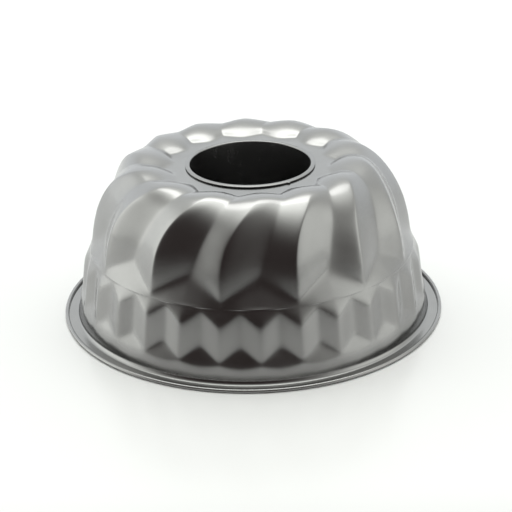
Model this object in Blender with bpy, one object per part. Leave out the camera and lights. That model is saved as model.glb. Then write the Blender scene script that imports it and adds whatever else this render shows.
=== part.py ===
"""Fluted tube pan: a deep-drawn steel shell with a rolled centre tube crimped into its crown.

Metres, +Z up. The pan stands on its rim with the crown up, as it is put down to cool or to store.
The origin is on the pan's axis, in the plane that the rim rests on.
"""

import math
from dataclasses import dataclass

import bmesh
import bpy
from mathutils import Vector
from mathutils.geometry import interpolate_bezier

# Sheet and fit
SHEET = 0.0006  # gauge of the steel, shell and tube alike
FIT = 0.0003  # clearance between the two pieces all through the crimp

# Rim
RIM_RADIUS = 0.125  # outside of the bead
BEAD_DIAMETER = 0.0025
BEAD_WRAP = math.radians(290)  # how far the edge is curled round
FLANGE_WIDTH = 0.0112  # from the foot of the wall out to the rim's edge
FOOT_FILLET = 0.0034  # inside corner between wall and flange

# Pleated band
FOOT_RING_TOP = 0.0115  # the plain ring under the pleats
WAIST_HEIGHT = 0.0465  # the crease between pleats and flutes
WAIST_INSET = 0.0083  # how much the band draws in from its foot to the waist
PLEATS_PER_FLUTE = 2
PLEAT_RISE = 0.0028  # how far the pleat ridges stand out of the band at their heads
PLEAT_SINK = 0.0026  # how far the pleat valleys lie under the band at their feet
PLEAT_HEAD_RAMP = 0.0090  # height of the triangular facets above the pleat ridges
PLEAT_FOOT_RAMP = 0.0095  # height of the triangular facets under the pleat valleys
PLEAT_END_STEP = 0.0022  # how near the pleats come to the creases at their far ends
RING_DRAFT = 0.0004  # taper of the plain ring

# Flutes
FLUTE_COUNT = 14
FIRST_RIDGE = math.radians(-100.8)  # polar angle of one flute ridge, on the wall
SWIRL = math.radians(15.8)  # how far the ridges turn from wall to crown
SWIRL_EASE = 1.07  # above 1 the ridges hold their line longer before they turn
VALLEY_SWIRL_EASE = 0.78  # under 1 the valleys turn at once, ahead of the ridges
SWIRL_START_RADIUS = 0.1041
SWIRL_END_RADIUS = 0.0660
FLUTE_DEPTH = 0.0070  # ridge to valley at the foot of the flutes
FLUTE_FOOT_RAMP = 0.0140  # height of the triangular facet that ends each valley
RIDGE_END_RISE = 0.0045  # how far above the waist the ridges stop
RIDGE_END_INSET = 0.0011
VALLEY_SOFTNESS = 0.06  # 0 folds the valleys sharp, 1 rounds the whole flute

# Shoulder and crown
SHOULDER_HEIGHT = 0.1046  # highest line of the ridges
SHOULDER_RADIUS = 0.0697
SHOULDER_DIP = 0.0017  # ridge to valley on top of the shoulder
CROWN_DIP = 0.0056  # the flat ledge round the tube lies this much lower
LEDGE_WIDTH = 0.0082  # flat ledge from the tube's curl to the ends of the ridges
SCALLOP_DEPTH = 0.0055  # how much further out the ledge reaches in the valleys

# Outline handles, as in a drawn curve: how far each stretch keeps its direction
RIDGE_LEAN = math.atan(0.07)
RIDGE_PULL = 0.0252
RIDGE_SHOULDER_PULL = 0.0180
VALLEY_LEAN = math.atan(0.15)
VALLEY_PULL = 0.0255
VALLEY_SHOULDER_PULL = 0.0115
CROWN_PULL = 0.0080
CREASE_PULL = 0.0045
CREASE_SLOPE = math.radians(34)

# Centre tube
BORE_RADIUS = 0.0389  # at the crown
MOUTH_BORE_RADIUS = 0.0335  # the tube narrows so that the cake slips off
TUBE_LIFT = 0.0030  # the tube stops short of the rest plane
CURL_WIDTH = 0.0034  # the tube's top edge, curled out over the shell's collar
CURL_HEIGHT = 0.0018
CURL_TUCK = math.radians(60)  # how far the edge turns in again under the curl
COLLAR_BEND = 0.0008  # bend radius on the upper side of the shell's turned-up hole edge
SEAM_ANGLE = math.radians(-55.5)  # polar angle of the tube's lap seam
LAP_STOP = 0.0060  # the lap is dressed down this far under the crown
LAP_STEP = 0.0020

# Divisions
COLUMNS_PER_PLEAT = 4
WALL_STEPS = 7
CROWN_STEPS = 3
FILLET_STEPS = 2
BEAD_STEPS = 6
TUBE_COLUMNS = 56
CURL_STEPS = 3

# Places that follow from the sizes above
PLEAT_COUNT = FLUTE_COUNT * PLEATS_PER_FLUTE
SHELL_COLUMNS = PLEAT_COUNT * COLUMNS_PER_PLEAT
CROWN_HEIGHT = SHOULDER_HEIGHT - CROWN_DIP
WALL_FOOT_RADIUS = RIM_RADIUS - FLANGE_WIDTH
BAND_FOOT_RADIUS = WALL_FOOT_RADIUS - RING_DRAFT
WAIST_RADIUS = BAND_FOOT_RADIUS - WAIST_INSET
COLLAR_RADIUS = BORE_RADIUS + SHEET + FIT + SHEET  # outer side of the turned-up collar
COLLAR_HEIGHT = CURL_HEIGHT - SHEET  # how far the collar stands up inside the curl
CREASE_RADIUS = BORE_RADIUS + CURL_WIDTH + LEDGE_WIDTH


@dataclass
class Station:
    """One ring of the shell: its ridge and valley points, how far each has turned, the pattern."""

    ridge: Vector
    valley: Vector
    folds: int = 1
    softness: float = 0.0
    ridge_turn: float = 0.0
    valley_turn: float = 0.0


def at(radius, height):
    return Vector((radius, height))


def round_station(point, turn=0.0):
    return Station(point, point, ridge_turn=turn, valley_turn=turn)


def arc(centre, radius, start, end, steps):
    """Points on a circular arc in the outline plane, both ends included."""
    angles = [start + (end - start) * i / steps for i in range(steps + 1)]
    return [centre + radius * at(math.cos(a), math.sin(a)) for a in angles]


def outline(foot, lean, pull, shoulder, shoulder_pull, crease):
    """Ridge or valley line from the wall's foot over the shoulder down to the crown's crease."""
    wall = interpolate_bezier(
        foot,
        foot + pull * at(-math.sin(lean), math.cos(lean)),
        shoulder + at(shoulder_pull, 0),
        shoulder,
        WALL_STEPS + 1,
    )
    crown = interpolate_bezier(
        shoulder,
        shoulder - at(CROWN_PULL, 0),
        crease + CREASE_PULL * at(math.cos(CREASE_SLOPE), math.sin(CREASE_SLOPE)),
        crease,
        CROWN_STEPS + 1,
    )
    return wall + crown[1:]


def way_in(radius, start):
    """How far a line that starts to turn at one radius has come on its way to the crown, 0 to 1."""
    return min(max((start - radius) / (start - SWIRL_END_RADIUS), 0.0), 1.0)


def ridge_swirl(radius):
    """Angle by which a ridge has turned where it has drawn in to this radius."""
    way = way_in(radius, SWIRL_START_RADIUS)
    return SWIRL * (way * way * (3 - 2 * way)) ** SWIRL_EASE


def valley_swirl(radius, foot_radius):
    """The same for a valley, which turns from its foot on."""
    return SWIRL * way_in(radius, foot_radius) ** VALLEY_SWIRL_EASE


def valley_share(across, softness):
    """How far a point lies from ridge (0) to valley (1), for its way across the fold's flank."""
    bottom = math.hypot(1.0, softness)
    return (bottom - math.hypot(1.0 - across, softness)) / (bottom - softness)


def collar_stations():
    """The hole's edge, turned up, and the bend that leads out to the ledge."""
    bend_centre = at(COLLAR_RADIUS + COLLAR_BEND, CROWN_HEIGHT + COLLAR_BEND)
    bend = arc(bend_centre, COLLAR_BEND, math.pi, 1.5 * math.pi, 1)
    edge = at(COLLAR_RADIUS, CROWN_HEIGHT + COLLAR_HEIGHT)
    return [round_station(p, SWIRL) for p in [edge, *bend]]


def flute_stations():
    """The rings from the crown's crease out over the shoulder and down to the flutes' feet."""
    ridge_foot = at(WAIST_RADIUS - RIDGE_END_INSET, WAIST_HEIGHT + RIDGE_END_RISE)
    valley_height = WAIST_HEIGHT + FLUTE_FOOT_RAMP
    ridge_fall = math.tan(RIDGE_LEAN) * (valley_height - ridge_foot.y)
    valley_foot = at(ridge_foot.x - ridge_fall - FLUTE_DEPTH, valley_height)
    shoulder = at(SHOULDER_RADIUS, SHOULDER_HEIGHT)
    crease = at(CREASE_RADIUS, CROWN_HEIGHT)
    ridges = outline(
        ridge_foot, RIDGE_LEAN, RIDGE_PULL, shoulder, RIDGE_SHOULDER_PULL, crease
    )
    valleys = outline(
        valley_foot,
        VALLEY_LEAN,
        VALLEY_PULL,
        shoulder - at(0, SHOULDER_DIP),
        VALLEY_SHOULDER_PULL,
        crease + at(SCALLOP_DEPTH, 0),
    )
    rings = [
        Station(
            ridge,
            valley,
            FLUTE_COUNT,
            VALLEY_SOFTNESS,
            ridge_swirl(ridge.x),
            valley_swirl(valley.x, valley_foot.x),
        )
        for ridge, valley in zip(ridges, valleys)
    ]
    return rings[::-1]


def band_stations():
    """The waist crease, the two ends of the pleats, and the crease at the band's foot."""
    fall = WAIST_INSET / (WAIST_HEIGHT - FOOT_RING_TOP)

    def on_band(height, rise=0.0):
        return at(BAND_FOOT_RADIUS - fall * (height - FOOT_RING_TOP) + rise, height)

    head_ridge = on_band(WAIST_HEIGHT - PLEAT_HEAD_RAMP, PLEAT_RISE)
    head_valley = on_band(WAIST_HEIGHT - PLEAT_END_STEP)
    foot_ridge = on_band(FOOT_RING_TOP + PLEAT_END_STEP)
    foot_valley = on_band(FOOT_RING_TOP + PLEAT_FOOT_RAMP, -PLEAT_SINK)
    return [
        round_station(on_band(WAIST_HEIGHT)),
        Station(head_ridge, head_valley, PLEAT_COUNT),
        Station(foot_ridge, foot_valley, PLEAT_COUNT),
        round_station(on_band(FOOT_RING_TOP)),
    ]


def rim_stations():
    """The plain ring, the fillet, the flat flange and the edge curled up and in."""
    fillet_centre = at(WALL_FOOT_RADIUS + FOOT_FILLET, SHEET + FOOT_FILLET)
    fillet = arc(fillet_centre, FOOT_FILLET, math.pi, 1.5 * math.pi, FILLET_STEPS)
    bead_centre = at(RIM_RADIUS - BEAD_DIAMETER / 2, BEAD_DIAMETER / 2)
    hollow = BEAD_DIAMETER / 2 - SHEET
    bead = arc(bead_centre, hollow, -math.pi / 2, BEAD_WRAP - math.pi / 2, BEAD_STEPS)
    return [round_station(p) for p in fillet + bead]


def revolve(points, columns):
    """Spin an outline once round the Z axis. A layer keeps each vertex's place in the outline."""
    bm = bmesh.new()
    row = bm.verts.layers.int.new("row")
    verts = [bm.verts.new((p.x, 0, p.y)) for p in points]
    for number, vert in enumerate(verts):
        vert[row] = number
    edges = [bm.edges.new(pair) for pair in zip(verts, verts[1:])]
    bmesh.ops.spin(
        bm,
        geom=verts + edges,
        axis=(0, 0, 1),
        cent=(0, 0, 0),
        angle=math.tau,
        steps=columns,
        use_merge=True,
    )
    bm.verts.index_update()
    return bm


def column_of(vert, columns):
    angle = math.atan2(vert.co.y, vert.co.x) % math.tau
    return round(angle * columns / math.tau) % columns


def press_folds(bm, stations):
    """Move every vertex of the round skin to its place on the flutes or the pleats."""
    row = bm.verts.layers.int["row"]
    for vert in bm.verts:
        station = stations[vert[row]]
        column = column_of(vert, SHELL_COLUMNS)
        fold = column * station.folds / SHELL_COLUMNS % 1.0
        share = valley_share(1 - abs(2 * fold - 1), station.softness)
        point = station.ridge.lerp(station.valley, share)
        turn = station.ridge_turn + share * (station.valley_turn - station.ridge_turn)
        angle = FIRST_RIDGE + turn + math.tau * column / SHELL_COLUMNS
        vert.co = (point.x * math.cos(angle), point.x * math.sin(angle), point.y)


def coated_steel(name, colour, roughness):
    material = bpy.data.materials.new(name)
    material.use_nodes = True
    shader = material.node_tree.nodes["Principled BSDF"]
    shader.inputs["Base Color"].default_value = (*colour, 1)
    shader.inputs["Metallic"].default_value = 0.85
    shader.inputs["Roughness"].default_value = roughness
    return material


def add_sheet_piece(name, bm, material, thickness):
    """Make an object of the skin in bm. Its sheet is thickened away from the face normals."""
    mesh = bpy.data.meshes.new(name)
    bm.to_mesh(mesh)
    bm.free()
    mesh.shade_smooth()
    mesh.set_sharp_from_angle(angle=math.radians(22))
    mesh.materials.append(material)
    piece = bpy.data.objects.new(name, mesh)
    bpy.context.collection.objects.link(piece)
    gauge = piece.modifiers.new("gauge", "SOLIDIFY")
    gauge.thickness = thickness
    gauge.offset = -1
    gauge.use_even_offset = True
    return piece, gauge


def build_shell():
    stations = collar_stations() + flute_stations() + band_stations() + rim_stations()
    bm = revolve([s.ridge for s in stations], SHELL_COLUMNS)
    press_folds(bm, stations)
    coating = coated_steel("shell_coating", (0.19, 0.185, 0.18), 0.34)
    add_sheet_piece("fluted_shell", bm, coating, SHEET)


def tube_outline():
    """Bore side of the tube from its mouth up and over the collar, and the height of the lap."""
    roll = CURL_HEIGHT / 2
    spring = CROWN_HEIGHT + FIT + roll
    rise = arc(at(BORE_RADIUS + roll, spring), roll, math.pi, math.pi / 2, CURL_STEPS - 1)
    turn_centre = at(BORE_RADIUS + CURL_WIDTH - roll, spring)
    tuck = arc(turn_centre, roll, math.pi / 2, -CURL_TUCK, CURL_STEPS)

    def on_wall(height):
        share = (height - TUBE_LIFT) / (spring - TUBE_LIFT)
        return at(MOUTH_BORE_RADIUS + share * (BORE_RADIUS - MOUTH_BORE_RADIUS), height)

    lap_top = CROWN_HEIGHT - LAP_STOP
    wall = [on_wall(TUBE_LIFT), on_wall(lap_top), on_wall(lap_top + LAP_STEP)]
    return wall + rise + tuck, lap_top


def build_tube():
    points, lap_top = tube_outline()
    bm = revolve(points, TUBE_COLUMNS)
    seam_column = round(SEAM_ANGLE % math.tau * TUBE_COLUMNS / math.tau)
    lapped = [
        vert.index
        for vert in bm.verts
        if vert.co.z <= lap_top and abs(column_of(vert, TUBE_COLUMNS) - seam_column) <= 1
    ]
    coating = coated_steel("tube_coating", (0.16, 0.155, 0.155), 0.38)
    piece, gauge = add_sheet_piece("centre_tube", bm, coating, 2 * SHEET)
    lap = piece.vertex_groups.new(name="lap")
    lap.add(lapped, 1.0, "REPLACE")
    gauge.vertex_group = lap.name
    gauge.thickness_vertex_group = 0.5


def clear_scene():
    for item in list(bpy.data.objects):
        bpy.data.objects.remove(item)


clear_scene()
build_shell()
build_tube()
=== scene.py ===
"""Fluted tube pan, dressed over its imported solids. Metres, +Z up, the pan stands on its rim."""

import math
from dataclasses import dataclass

import bmesh
import bpy
from mathutils import Matrix, Vector
from mathutils.geometry import interpolate_bezier


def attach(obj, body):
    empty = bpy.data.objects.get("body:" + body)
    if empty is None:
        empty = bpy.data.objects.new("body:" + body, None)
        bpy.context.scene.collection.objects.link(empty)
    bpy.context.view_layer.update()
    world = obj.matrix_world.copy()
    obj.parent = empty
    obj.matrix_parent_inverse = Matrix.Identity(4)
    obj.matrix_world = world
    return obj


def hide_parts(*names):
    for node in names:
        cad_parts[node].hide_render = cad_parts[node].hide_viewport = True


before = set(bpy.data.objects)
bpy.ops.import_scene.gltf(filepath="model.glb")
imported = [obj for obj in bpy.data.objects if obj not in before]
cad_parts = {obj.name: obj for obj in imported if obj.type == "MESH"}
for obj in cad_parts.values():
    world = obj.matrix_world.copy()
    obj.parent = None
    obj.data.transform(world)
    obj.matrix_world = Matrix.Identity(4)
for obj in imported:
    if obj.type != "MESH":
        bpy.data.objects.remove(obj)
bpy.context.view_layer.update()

# Fluted shell: the body of the pan, one sheet of steel drawn deep into fourteen swirled flutes
# over a band of twenty-eight pleats. Its flange ends in a rolled bead, the hole's edge is turned
# up into the joint with the tube, and the whole is coated in dark grey.
SHEET = 0.0006
FIT = 0.0003

RIM_RADIUS = 0.12497
BEAD_DIAMETER = 0.0025
BEAD_WRAP = math.radians(290)
FLANGE_WIDTH = 0.0102
FILLET_RUN = 0.0026
FILLET_RISE = 0.0042

FOOT_RING_TOP = 0.0115
RING_DRAFT = 0.0004
WAIST_HEIGHT = 0.0465
WAIST_INSET = 0.0088
WAIST_LINE_STEP = 0.00025
WAIST_LINE_RISE = 0.00010

PLEAT_COUNT = 28
PLEAT_RISE = 0.0028
PLEAT_SINK = 0.0026
PLEAT_HEAD_RAMP = 0.0090
PLEAT_FOOT_RAMP = 0.0095
PLEAT_END_STEP = 0.0022
PLEAT_SOFTNESS = 0.04

FLUTE_COUNT = 14
FIRST_RIDGE = math.radians(-100.8)
SWIRL = math.radians(15.8)
RIDGE_SWIRL_EASE = 1.07
VALLEY_SWIRL_EASE = 0.78
SWIRL_START_RADIUS = 0.1041
SWIRL_END_RADIUS = 0.0660
FLUTE_DEPTH = 0.0070
FLUTE_FOOT_RAMP = 0.0140
FLUTE_FLATNESS = 0.85
RIDGE_END_RISE = 0.0045
RIDGE_END_INSET = 0.0011
RIDGE_SOFTNESS = 0.09
CROWN_SOFTNESS = 0.55
CROWN_SOFTNESS_EASE = 5
VALLEY_SOFTNESS = 0.06

SHOULDER_HEIGHT = 0.1046
SHOULDER_RADIUS = 0.0697
SHOULDER_DIP = 0.0021
CROWN_DIP = 0.0056
CROWN_HEIGHT = SHOULDER_HEIGHT - CROWN_DIP
LEDGE_WIDTH = 0.0086
SCALLOP_DEPTH = 0.0055
RIDGE_LEAN = math.atan(0.07)
RIDGE_PULL = 0.0252
RIDGE_SHOULDER_PULL = 0.0180
VALLEY_LEAN = math.atan(0.15)
VALLEY_PULL = 0.0255
VALLEY_SHOULDER_PULL = 0.0115
CROWN_PULL = 0.0080
CREASE_PULL = 0.0045
CREASE_SLOPE = math.radians(34)

BORE_RADIUS = 0.0389
CURL_WIDTH = 0.0030
CURL_HEIGHT = 0.0012
COLLAR_BEND = 0.0004

HALF_PLEATS = 2 * PLEAT_COUNT
COLUMNS_PER_HALF_PLEAT = 8
COLUMNS = COLUMNS_PER_HALF_PLEAT * HALF_PLEATS
CREASE_PACKING = 0.7
BEND_STEPS = 4
LEDGE_STEPS = 5
CROWN_POINTS = 10
WALL_POINTS = 27
FLUTE_FOOT_STEPS = 6
WAIST_LINE_ROWS = 2
PLEAT_END_STEPS = 5
PLEAT_STEPS = 10
FLAT_STEPS = 3
FILLET_STEPS = 10
BEAD_STEPS = 14

FLUTE_EASING = 3
FOOT_EASING = 5
PLEAT_EASING = 14
EASED_LEDGE_ROWS = 1
EASED_FOOT_ROWS = 6
EASED_FILLET_ROWS = 2


@dataclass
class Ring:
    """One ring of the drawn sheet: ridge and valley point, pattern, how far each has turned.

    Flatness is 1 where the flanks between ridge and valley are flat, 0 where they stay round.
    """

    ridge: Vector
    valley: Vector
    folds: int = 0
    ridge_turn: float = 0.0
    valley_turn: float = 0.0
    flatness: float = 0.0


@dataclass
class Marks:
    """The numbers of the rings that part the sheet's zones, counted from the hole's edge."""

    crease: int
    valley_foot: int
    waist: int
    wall_foot: int


def at(radius, height):
    return Vector((radius, height))


def plain(point, turn=0.0):
    return Ring(point, point, 0, turn, turn)


def arc(centre, radius, start, end, steps):
    angles = [start + (end - start) * i / steps for i in range(steps + 1)]
    return [centre + radius * at(math.cos(a), math.sin(a)) for a in angles]


def packed(share):
    """Places from 0 to 1 that lie closer together near both ends, where the sheet is creased."""
    return share - CREASE_PACKING * math.sin(math.tau * share) / math.tau


def between(first, last, steps, folds):
    """The rings from one crease to the next, without the first crease itself."""
    made = []
    for step in range(1, steps + 1):
        share = packed(step / steps)
        made.append(
            Ring(
                first.ridge.lerp(last.ridge, share),
                first.valley.lerp(last.valley, share),
                folds,
                first.ridge_turn + share * (last.ridge_turn - first.ridge_turn),
                first.valley_turn + share * (last.valley_turn - first.valley_turn),
                first.flatness + share * (last.flatness - first.flatness),
            )
        )
    return made


def beside(crease, other, distance, folds):
    """The ring at a fixed distance from a plain crease, on the way to another ring."""
    return Ring(
        crease.ridge + distance * (other.ridge - crease.ridge).normalized(),
        crease.valley + distance * (other.valley - crease.valley).normalized(),
        folds,
    )


def way_in(radius, start):
    """How far a point has come, from 0 to 1, on its way in over the shoulder."""
    return min(max((start - radius) / (start - SWIRL_END_RADIUS), 0.0), 1.0)


def ridge_swirl(radius):
    way = way_in(radius, SWIRL_START_RADIUS)
    return SWIRL * (way * way * (3 - 2 * way)) ** RIDGE_SWIRL_EASE


def valley_swirl(radius, foot_radius):
    return SWIRL * way_in(radius, foot_radius) ** VALLEY_SWIRL_EASE


def flute_line(foot, lean, pull, top, top_pull, inner):
    """The outline of a ridge or a valley, from its foot up the wall and in over the crown."""
    up_wall = foot + pull * at(-math.sin(lean), math.cos(lean))
    wall = interpolate_bezier(foot, up_wall, top + at(top_pull, 0), top, WALL_POINTS)
    slope = at(math.cos(CREASE_SLOPE), math.sin(CREASE_SLOPE))
    crown = interpolate_bezier(
        top, top - at(CROWN_PULL, 0), inner + CREASE_PULL * slope, inner, CROWN_POINTS
    )
    return wall + crown[1:]


def flute_rings():
    """From the crown's crease over the shoulder and down to the feet of the flutes."""
    waist_radius = RIM_RADIUS - FLANGE_WIDTH - RING_DRAFT - WAIST_INSET
    ridge_foot = at(waist_radius - RIDGE_END_INSET, WAIST_HEIGHT + RIDGE_END_RISE)
    valley_height = WAIST_HEIGHT + FLUTE_FOOT_RAMP
    fall = math.tan(RIDGE_LEAN) * (valley_height - ridge_foot.y)
    valley_foot = at(ridge_foot.x - fall - FLUTE_DEPTH, valley_height)
    shoulder = at(SHOULDER_RADIUS, SHOULDER_HEIGHT)
    crease = at(BORE_RADIUS + CURL_WIDTH + LEDGE_WIDTH, CROWN_HEIGHT)
    ridges = flute_line(
        ridge_foot, RIDGE_LEAN, RIDGE_PULL, shoulder, RIDGE_SHOULDER_PULL, crease
    )
    valleys = flute_line(
        valley_foot,
        VALLEY_LEAN,
        VALLEY_PULL,
        shoulder - at(0, SHOULDER_DIP),
        VALLEY_SHOULDER_PULL,
        crease + at(SCALLOP_DEPTH, 0),
    )
    made = []
    for ridge, valley in zip(ridges[::-1], valleys[::-1]):
        outwards = (ridge.x - crease.x) / (shoulder.x - crease.x)
        made.append(
            Ring(
                ridge,
                valley,
                FLUTE_COUNT,
                ridge_swirl(ridge.x),
                valley_swirl(valley.x, valley_foot.x),
                FLUTE_FLATNESS * min(outwards, 1.0),
            )
        )
    return made


def shell_rings():
    """Every ring of the sheet, from the hole's turned-up edge out to the end of the bead."""
    collar_radius = BORE_RADIUS + SHEET + FIT + SHEET
    bend_centre = at(collar_radius + COLLAR_BEND, CROWN_HEIGHT + COLLAR_BEND)
    edge = at(collar_radius, CROWN_HEIGHT + CURL_HEIGHT - SHEET)
    bend = arc(bend_centre, COLLAR_BEND, math.pi, 1.5 * math.pi, BEND_STEPS)
    collar = [plain(p, SWIRL) for p in [edge, *bend]]
    flutes = flute_rings()
    wall_radius = RIM_RADIUS - FLANGE_WIDTH
    foot_radius = wall_radius - RING_DRAFT
    fall = WAIST_INSET / (WAIST_HEIGHT - FOOT_RING_TOP)

    def on_band(height, rise=0.0):
        return at(foot_radius - fall * (height - FOOT_RING_TOP) + rise, height)

    waist = plain(on_band(WAIST_HEIGHT))
    heads = Ring(
        on_band(WAIST_HEIGHT - PLEAT_HEAD_RAMP, PLEAT_RISE),
        on_band(WAIST_HEIGHT - PLEAT_END_STEP),
        PLEAT_COUNT,
        flatness=1.0,
    )
    feet = Ring(
        on_band(FOOT_RING_TOP + PLEAT_END_STEP),
        on_band(FOOT_RING_TOP + PLEAT_FOOT_RAMP, -PLEAT_SINK),
        PLEAT_COUNT,
        flatness=1.0,
    )
    out_from_waist = range(1, WAIST_LINE_ROWS + 1)
    above = [
        beside(waist, flutes[-1], rows * WAIST_LINE_STEP, FLUTE_COUNT)
        for rows in reversed(out_from_waist)
    ]
    below = [
        beside(waist, heads, rows * WAIST_LINE_STEP, PLEAT_COUNT) for rows in out_from_waist
    ]
    ring_top = plain(on_band(FOOT_RING_TOP))
    fillet = [
        plain(at(wall_radius + FILLET_RUN * (1 + p.x), SHEET + FILLET_RISE * (1 + p.y)))
        for p in arc(at(0, 0), 1, math.pi, 1.5 * math.pi, FILLET_STEPS)
    ]
    bead_centre = at(RIM_RADIUS - BEAD_DIAMETER / 2, BEAD_DIAMETER / 2)
    hollow = BEAD_DIAMETER / 2 - SHEET
    bead_end = BEAD_WRAP - math.pi / 2
    bead = [plain(p) for p in arc(bead_centre, hollow, -math.pi / 2, bead_end, BEAD_STEPS)]

    made = [*collar, *between(collar[-1], flutes[0], LEDGE_STEPS, FLUTE_COUNT)]
    crease_row = len(made) - 1
    made += flutes[1:]
    valley_foot_row = len(made) - 1
    made += [
        *between(flutes[-1], above[0], FLUTE_FOOT_STEPS, FLUTE_COUNT),
        *above[1:],
        waist,
    ]
    waist_row = len(made) - 1
    made += [
        *below,
        *between(below[-1], heads, PLEAT_END_STEPS, PLEAT_COUNT),
        *between(heads, feet, PLEAT_STEPS, PLEAT_COUNT),
        *between(feet, ring_top, PLEAT_END_STEPS, PLEAT_COUNT),
        *between(ring_top, fillet[0], FLAT_STEPS, 0),
    ]
    wall_foot_row = len(made) - 1
    made += [*fillet[1:], *between(fillet[-1], bead[0], FLAT_STEPS, 0), *bead[1:]]
    return made, Marks(crease_row, valley_foot_row, waist_row, wall_foot_row)


def spun(points, columns):
    """An outline spun once round the Z axis, with each vertex's row kept."""
    bm = bmesh.new()
    row = bm.verts.layers.int.new("row")
    verts = [bm.verts.new((p.x, 0, p.y)) for p in points]
    for number, vert in enumerate(verts):
        vert[row] = number
    edges = [bm.edges.new(pair) for pair in zip(verts, verts[1:])]
    bmesh.ops.spin(
        bm,
        geom=verts + edges,
        axis=(0, 0, 1),
        cent=(0, 0, 0),
        angle=math.tau,
        steps=columns,
        use_merge=True,
    )
    bmesh.ops.recalc_face_normals(bm, faces=bm.faces)
    return bm


def column_of(vert, columns):
    angle = math.atan2(vert.co.y, vert.co.x) % math.tau
    return round(angle * columns / math.tau) % columns


def rounded_start(across, softness):
    """A straight rise from 0 to 1 whose start is rounded."""
    bottom = math.hypot(1.0, softness)
    return (math.hypot(across, softness) - softness) / (bottom - softness)


def fold_share(ring, across):
    """How far the sheet has gone from ridge to valley, with both rounded."""
    ridge_softness = valley_softness = PLEAT_SOFTNESS
    if ring.folds == FLUTE_COUNT:
        crown = (ring.ridge_turn / SWIRL) ** CROWN_SOFTNESS_EASE
        ridge_softness = RIDGE_SOFTNESS + crown * CROWN_SOFTNESS
        valley_softness = VALLEY_SOFTNESS
    share = rounded_start(across, ridge_softness)
    return 1 - rounded_start(1 - share, valley_softness)


def turned(point, angle):
    return Vector((point.x * math.cos(angle), point.x * math.sin(angle), point.y))


def pressed(ring, column):
    """The place of one vertex on the flutes, the pleats or the plain rim."""
    half_pleat, step = divmod(column, COLUMNS_PER_HALF_PLEAT)
    way = (half_pleat + packed(step / COLUMNS_PER_HALF_PLEAT)) / HALF_PLEATS
    start = FIRST_RIDGE + math.tau * way
    if ring.folds == 0:
        return turned(ring.ridge, start + ring.ridge_turn)
    fold, place = divmod(way * ring.folds, 1.0)
    across = 1 - abs(2 * place - 1)
    share = fold_share(ring, across)
    point = ring.ridge.lerp(ring.valley, share)
    turn = ring.ridge_turn + share * (ring.valley_turn - ring.ridge_turn)
    round_place = turned(point, start + turn)
    pitch = math.tau / ring.folds
    ridge_angle = FIRST_RIDGE + pitch * (fold + round(place)) + ring.ridge_turn
    valley_angle = FIRST_RIDGE + pitch * (fold + 0.5) + ring.valley_turn
    ridge_place = turned(ring.ridge, ridge_angle)
    chord = ridge_place.lerp(turned(ring.valley, valley_angle), across)
    bent = (share - across) * (ring.valley - ring.ridge)
    outwards = chord.xy.normalized() * bent.x
    flat_place = chord + Vector((outwards.x, outwards.y, bent.y))
    return round_place.lerp(flat_place, ring.flatness)


def dress(bm, marks):
    """Takes the knife edge off the creases, and raises the fine line round the waist."""
    row = bm.verts.layers.int["row"]
    ledge_row = marks.crease - EASED_LEDGE_ROWS
    foot_row = marks.valley_foot - EASED_FOOT_ROWS
    fillet_row = marks.wall_foot + EASED_FILLET_ROWS
    above_line = marks.waist - WAIST_LINE_ROWS - 1
    below_line = marks.waist + WAIST_LINE_ROWS + 1
    zones = (
        (ledge_row, above_line, FLUTE_EASING),
        (foot_row, above_line, FOOT_EASING),
        (below_line, fillet_row, PLEAT_EASING),
    )
    for first, last, times in zones:
        verts = [v for v in bm.verts if first <= v[row] <= last]
        for _ in range(times):
            bmesh.ops.smooth_vert(
                bm, verts=verts, factor=0.5, use_axis_x=True, use_axis_y=True, use_axis_z=True
            )
    bmesh.ops.recalc_face_normals(bm, faces=bm.faces)
    bm.normal_update()
    for vert in bm.verts:
        rise = 1 - abs(vert[row] - marks.waist) / WAIST_LINE_ROWS
        if rise > 0:
            vert.co += WAIST_LINE_RISE * rise * vert.normal


def finished_piece(name, bm, material):
    """An object of the skin in bm, shaded smooth. Its sheet lies on the inner side of the skin."""
    mesh = bpy.data.meshes.new(name)
    bm.to_mesh(mesh)
    bm.free()
    mesh.shade_smooth()
    mesh.materials.append(material)
    piece = bpy.data.objects.new(name, mesh)
    bpy.context.collection.objects.link(piece)
    gauge = piece.modifiers.new("gauge", "SOLIDIFY")
    gauge.thickness = SHEET
    gauge.offset = -1
    gauge.use_even_offset = True
    return piece


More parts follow.
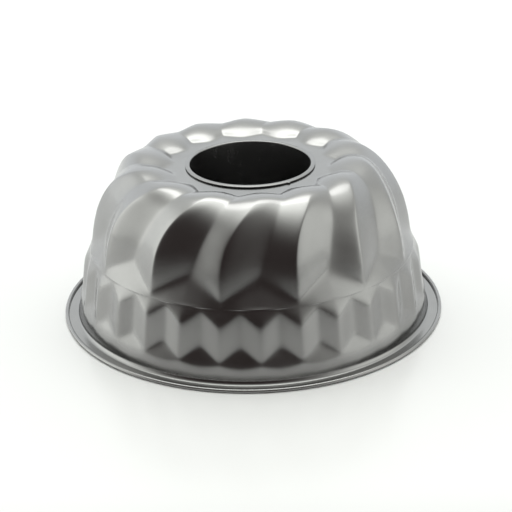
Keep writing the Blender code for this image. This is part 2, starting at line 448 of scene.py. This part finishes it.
class Strand:
    """One socket of a material or the world. Arithmetic on strands adds Math nodes."""

    def __init__(self, tree, socket=None):
        self.tree = tree
        self.socket = socket

    def node(self, kind, settings, sockets, output=0):
        """Adds one node: its settings first, then its sockets' values or links."""
        made = self.tree.nodes.new("ShaderNode" + kind)
        for name, value in settings.items():
            setattr(made, name, value)
        for name, value in sockets.items():
            if isinstance(value, Strand):
                self.tree.links.new(value.socket, made.inputs[name])
            else:
                made.inputs[name].default_value = value
        return Strand(self.tree, made.outputs[output] if made.outputs else None)

    def ramp(self, *stops):
        """The colour at this strand's value, from stops of a position and a colour."""
        made = self.node("ValToRGB", {}, {"Fac": self})
        for element, (position, colour) in zip(made.socket.node.color_ramp.elements, stops):
            element.position = position
            element.color = (*colour, 1)
        return made

    def eased(self, low, high):
        """How far this strand has come from low to high, eased at both ends."""
        return self.node(
            "MapRange",
            {"interpolation_type": "SMOOTHSTEP"},
            {"Value": self, "From Min": low, "From Max": high},
        )

    def maths(self, operation, first, second):
        return self.node("Math", {"operation": operation}, {0: first, 1: second})

    def at_least(self, other):
        return self.maths("MAXIMUM", self, other)

    def __add__(self, other):
        return self.maths("ADD", self, other)

    __radd__ = __add__

    def __mul__(self, other):
        return self.maths("MULTIPLY", self, other)

    __rmul__ = __mul__

    def __truediv__(self, other):
        return self.maths("DIVIDE", self, other)

    def __sub__(self, other):
        return self.maths("SUBTRACT", self, other)

    def __rsub__(self, other):
        return self.maths("SUBTRACT", other, self)

    def __pow__(self, other):
        return self.maths("POWER", self, other)


def bare_tree(owner):
    """The emptied node tree of a material or world, as a strand to start from."""
    owner.use_nodes = True
    owner.node_tree.nodes.clear()
    return Strand(owner.node_tree)


CLOUD = {"Scale": 38.0, "Detail": 3.0, "Roughness": 0.55}
GRAIN = {"Scale": 1500.0, "Detail": 2.0, "Roughness": 0.6}
CLOUD_SHARE = 0.7
DARK_TONE = 0.3
LIGHT_TONE = 0.7
CLOUD_GLOSS = 0.06
GRAIN_GLOSS = 0.04
GRAIN_STRENGTH = 0.12
GRAIN_HEIGHT = 0.0001
SHELL_DARK = (0.262, 0.26, 0.257)
SHELL_LIGHT = (0.302, 0.3, 0.297)
SHELL_ROUGHNESS = 0.21


def coated_steel(name, dark, light, roughness):
    """Satin non-stick coating on steel: fine grain, a faint cloudiness in tone and in gloss."""
    material = bpy.data.materials.new(name)
    start = bare_tree(material)
    place = start.node("TexCoord", {}, {}, "Object")
    cloud = start.node("TexNoise", {}, {"Vector": place, **CLOUD})
    grain = start.node("TexNoise", {}, {"Vector": place, **GRAIN})
    tone = cloud * CLOUD_SHARE + grain * (1 - CLOUD_SHARE)
    middle = (CLOUD_GLOSS + GRAIN_GLOSS) / 2
    gloss = roughness - middle + cloud * CLOUD_GLOSS + grain * GRAIN_GLOSS
    relief = start.node(
        "Bump", {}, {"Strength": GRAIN_STRENGTH, "Distance": GRAIN_HEIGHT, "Height": grain}
    )
    surface = start.node(
        "BsdfPrincipled",
        {},
        {
            "Base Color": tone.ramp((DARK_TONE, dark), (LIGHT_TONE, light)),
            "Metallic": 1.0,
            "Roughness": gloss,
            "Normal": relief,
        },
    )
    start.node("OutputMaterial", {}, {"Surface": surface})
    return material


rings, marks = shell_rings()
skin = spun([ring.ridge for ring in rings], COLUMNS)
skin_row = skin.verts.layers.int["row"]
for vert in skin.verts:
    vert.co = pressed(rings[vert[skin_row]], column_of(vert, COLUMNS))
dress(skin, marks)
shell_coating = coated_steel("shell_finish", SHELL_DARK, SHELL_LIGHT, SHELL_ROUGHNESS)
shell = finished_piece("pan_shell", skin, shell_coating)
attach(shell, "root")
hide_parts("fluted_shell")

# Centre tube: a strip of the same coated steel, rolled to a taper and lap-seamed. Its top edge is
# curled out over the shell's turned-up edge and pressed flat, which holds the two together.
MOUTH_BORE_RADIUS = 0.0335
TUBE_LIFT = 0.0030
CURL_TUCK = math.radians(60)
CURL_SLOPE = math.radians(12)
INNER_ROLL = 0.0009
OUTER_ROLL = 0.0003
EDGE_GAP = 0.0005
SEAM_ANGLE = math.radians(-55.5)
SEAM_WIDTH = math.radians(1.1)
SEAM_BUMP = 0.0020
SEAM_BUMP_START = BORE_RADIUS + CURL_WIDTH / 3
LAP_ANGLE = math.radians(6)
LAP_DEPTH = 0.00015
TUBE_COLUMNS = 360
TUBE_WALL_STEPS = 16
INNER_ROLL_STEPS = 9
OUTER_ROLL_STEPS = 10
TUBE_DARK = (0.25, 0.248, 0.247)
TUBE_LIGHT = (0.285, 0.283, 0.282)
TUBE_ROUGHNESS = 0.26


def tube_outline():
    """Bore side of the tube: the wall from its mouth up, and the curl down to its pressed edge."""
    spring = at(BORE_RADIUS + INNER_ROLL, CROWN_HEIGHT + FIT + CURL_HEIGHT - INNER_ROLL)
    turn = at(BORE_RADIUS + CURL_WIDTH - OUTER_ROLL, CROWN_HEIGHT + EDGE_GAP + OUTER_ROLL)
    over = math.pi / 2 - CURL_SLOPE
    rise = arc(spring, INNER_ROLL, math.pi, over, INNER_ROLL_STEPS)
    tuck = arc(turn, OUTER_ROLL, over, -CURL_TUCK, OUTER_ROLL_STEPS)
    mouth = at(MOUTH_BORE_RADIUS, TUBE_LIFT)
    shares = [step / TUBE_WALL_STEPS for step in range(TUBE_WALL_STEPS)]
    return [mouth.lerp(rise[0], share) for share in shares], rise + tuck


def dress_seam(bm, first_curl_row):
    """Steps the lap inside the bore, and swells the curl where the strip's ends lie double."""
    row = bm.verts.layers.int["row"]
    for vert in bm.verts:
        radius = math.hypot(vert.co.x, vert.co.y)
        angle = math.atan2(vert.co.y, vert.co.x)
        off = (angle - SEAM_ANGLE + math.pi) % math.tau - math.pi
        if vert[row] < first_curl_row:
            moved = radius + (LAP_DEPTH if 0 < off < LAP_ANGLE else 0.0)
        else:
            outer = max(radius - SEAM_BUMP_START, 0.0) / CURL_WIDTH
            moved = radius + SEAM_BUMP * outer * math.exp(-((off / SEAM_WIDTH) ** 2))
        vert.co.x *= moved / radius
        vert.co.y *= moved / radius


wall_points, curl_points = tube_outline()
tube_skin = spun(wall_points + curl_points, TUBE_COLUMNS)
dress_seam(tube_skin, len(wall_points))
tube_coating = coated_steel("tube_finish", TUBE_DARK, TUBE_LIGHT, TUBE_ROUGHNESS)
tube = finished_piece("pan_tube", tube_skin, tube_coating)
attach(tube, "root")
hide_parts("centre_tube")

# Floor: a plain white acrylic table, satin. A little in front of the pan, where the camera no
# longer sees it, its colour turns to a pale grey:
# painted shade for the unlit front of the room, which the pan's dark side mirrors.
FLOOR_SIZE = 12.0
FLOOR_WHITE = 0.76
# Pale grey of the painted shade in front of the pan.
FLOOR_PAINTED_SHADE = 0.3
FLOOR_ROUGHNESS = 0.22
FLOOR_IOR = 1.5
FADE_START = 0.22
FADE_END = 0.4

floor_bm = bmesh.new()
bmesh.ops.create_grid(floor_bm, x_segments=1, y_segments=1, size=FLOOR_SIZE / 2)
floor_mesh = bpy.data.meshes.new("floor")
floor_bm.to_mesh(floor_mesh)
floor_bm.free()
floor = bpy.data.objects.new("floor", floor_mesh)
bpy.context.collection.objects.link(floor)

acrylic_with_painted_shade = bpy.data.materials.new("white_acrylic_painted_shade")
acrylic_start = bare_tree(acrylic_with_painted_shade)
floor_place = acrylic_start.node("TexCoord", {}, {}, "Object")
backwards = acrylic_start.node("SeparateXYZ", {}, {"Vector": floor_place}, "Y")
# Painted shade: the floor's colour falls from white to a pale grey in front of the pan.
outside_painted_shade = backwards.eased(-FADE_END, -FADE_START)
acrylic_surface = acrylic_start.node(
    "BsdfPrincipled",
    {},
    {
        "Base Color": outside_painted_shade.ramp((0.0, [FLOOR_PAINTED_SHADE] * 3), (1.0, [FLOOR_WHITE] * 3)),
        "Roughness": FLOOR_ROUGHNESS,
        "IOR": FLOOR_IOR,
    },
)
acrylic_start.node("OutputMaterial", {}, {"Surface": acrylic_surface})
floor_mesh.materials.append(acrylic_with_painted_shade)

# Light: a white tent, open and dim towards the camera, and turned a little so that its right wall
# stands nearer the front. Its roof is brightest a little behind the pan, its walls low down, and a
# soft box over the back sharpens the glints along the shoulder.
TENT_ROOF = 3.0
TENT_LEFT = 2.05
TENT_RIGHT = 1.55
TENT_BACK = 1.15
TENT_DIM = 0.07
ROOF_TILT = math.radians(13)
ROOF_FOCUS = 5
WALL_TURN = math.radians(9)
LEFT_FOCUS = 8
RIGHT_FOCUS = 5
WALL_TOP = (0.5, 0.85)
BACK_TOP = (0.3, 0.85)
BACK_SIDES = (0.2, 0.8)
CLOTH_WHITE = (0.97, 1, 0.96, 1)
CLOTH_COOL = (0.93, 0.98, 1, 1)
ROOM_WARM = (1, 0.8, 0.77, 1)
JUST_OVER_ONE = 1.0001

BOX_RISE = math.radians(66)
BOX_DISTANCE = 1.6
BOX_WIDTH = 1.4
BOX_DEPTH = 0.65
BOX_RADIANCE = 1.3
BOX_AIM = Vector((0, 0, 0.06))

tent = bpy.data.worlds.new("tent")
bpy.context.scene.world = tent
tent_start = bare_tree(tent)
towards = tent_start.node("TexCoord", {}, {}, "Generated")
east, north, up = (
    tent_start.node("SeparateXYZ", {}, {"Vector": towards}, axis) for axis in "XYZ"
)
level = (JUST_OVER_ONE - up * up) ** 0.5
roof = (north * math.sin(ROOF_TILT) + up * math.cos(ROOF_TILT)).at_least(0.0) ** ROOF_FOCUS
across = (east * math.cos(WALL_TURN) - north * math.sin(WALL_TURN)) / level
right_wall = TENT_RIGHT * across.at_least(0.0) ** RIGHT_FOCUS
left_wall = TENT_LEFT * (-1 * across).at_least(0.0) ** LEFT_FOCUS
walls = (right_wall + left_wall) * (1 - up.eased(*WALL_TOP))
back_wall = (north / level).eased(*BACK_SIDES) * (1 - up.eased(*BACK_TOP))


def glow(colour, strength):
    return tent_start.node("Background", {}, {"Color": colour, "Strength": strength})


cloth = glow(CLOTH_WHITE, TENT_ROOF * roof + walls)
cool_cloth = glow(CLOTH_COOL, TENT_BACK * back_wall)
room = glow(ROOM_WARM, TENT_DIM)
tent_light = tent_start.node("AddShader", {}, {0: cloth, 1: cool_cloth})
tent_light = tent_start.node("AddShader", {}, {0: tent_light, 1: room})
tent_start.node("OutputWorld", {}, {"Surface": tent_light})

box_lamp = bpy.data.lights.new("box_shoulder", "AREA")
box_lamp.shape = "RECTANGLE"
box_lamp.size = BOX_WIDTH
box_lamp.size_y = BOX_DEPTH
box_lamp.energy = BOX_RADIANCE * math.pi * BOX_WIDTH * BOX_DEPTH
box = bpy.data.objects.new("box_shoulder", box_lamp)
to_box = Vector((0, math.cos(BOX_RISE), math.sin(BOX_RISE)))
box.matrix_world = (
    Matrix.Translation(BOX_AIM + BOX_DISTANCE * to_box)
    @ (-to_box).to_track_quat("-Z", "Y").to_matrix().to_4x4()
)
bpy.context.collection.objects.link(box)

# Camera: the photograph's own angle, a little above the shoulder of the pan, with its slight
# roll. The focal length and the aim are given in pixels of the photograph.
FOCAL_PIXELS = 1624
IMAGE_PIXELS = 512
SENSOR = 36.0
CAMERA_RISE = math.radians(23.432)
CAMERA_ROLL = math.radians(1.277)
CAMERA_DISTANCE = 1.064625
CAMERA_TARGET = Vector((0, 0, 0.0542))
AIM_PIXEL = (252.257, 227.935)

camera_data = bpy.data.cameras.new("camera")
camera_data.sensor_width = SENSOR
camera_data.lens = SENSOR * FOCAL_PIXELS / IMAGE_PIXELS
camera_data.clip_start = 0.05
camera_data.clip_end = 30
camera = bpy.data.objects.new("camera", camera_data)
bpy.context.collection.objects.link(camera)
to_camera = Vector((0, -math.cos(CAMERA_RISE), math.sin(CAMERA_RISE)))
aim_right, aim_down = (
    math.atan((pixel - IMAGE_PIXELS / 2) / FOCAL_PIXELS) for pixel in AIM_PIXEL
)
camera.matrix_world = (
    Matrix.Translation(CAMERA_TARGET + CAMERA_DISTANCE * to_camera)
    @ Matrix.Rotation(math.pi / 2 - CAMERA_RISE, 4, "X")
    @ Matrix.Rotation(aim_right, 4, "Y")
    @ Matrix.Rotation(aim_down, 4, "X")
    @ Matrix.Rotation(-CAMERA_ROLL, 4, "Z")
)
bpy.context.scene.camera = camera
bpy.context.scene.view_settings.view_transform = "Standard"
